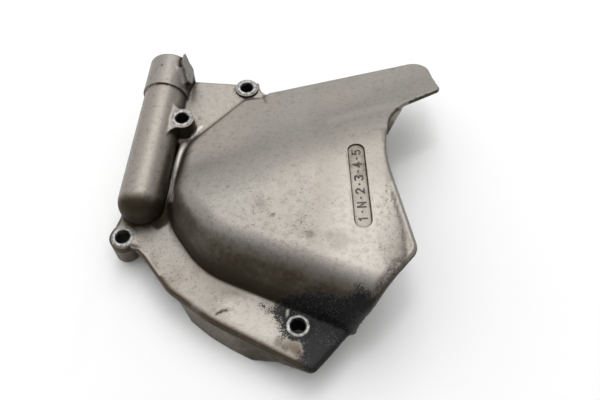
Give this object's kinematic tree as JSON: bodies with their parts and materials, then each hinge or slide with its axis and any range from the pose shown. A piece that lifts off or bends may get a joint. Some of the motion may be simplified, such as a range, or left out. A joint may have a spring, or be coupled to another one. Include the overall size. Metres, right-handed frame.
{
  "type": "motorcycle sprocket cover",
  "caption": "Cast cover that bolts over a motorcycle's front sprocket, with a bolted flange, a domed chamber open to the rear and a blind tube socket along one side.",
  "frame": {"origin": "axis of the lower front bolt hole at the mounting plane", "axes": "+Z out of the engine along the bolts, +Y along the blind tube towards its open end, +X across the cover towards its open rear side"},
  "size_m": [0.1619, 0.1756, 0.05],
  "materials": {
    "cast_paint": "satin"
  },
  "bodies": {
    "root": {"sprocket_cover": "cast_paint"}
  },
  "joints": []
}
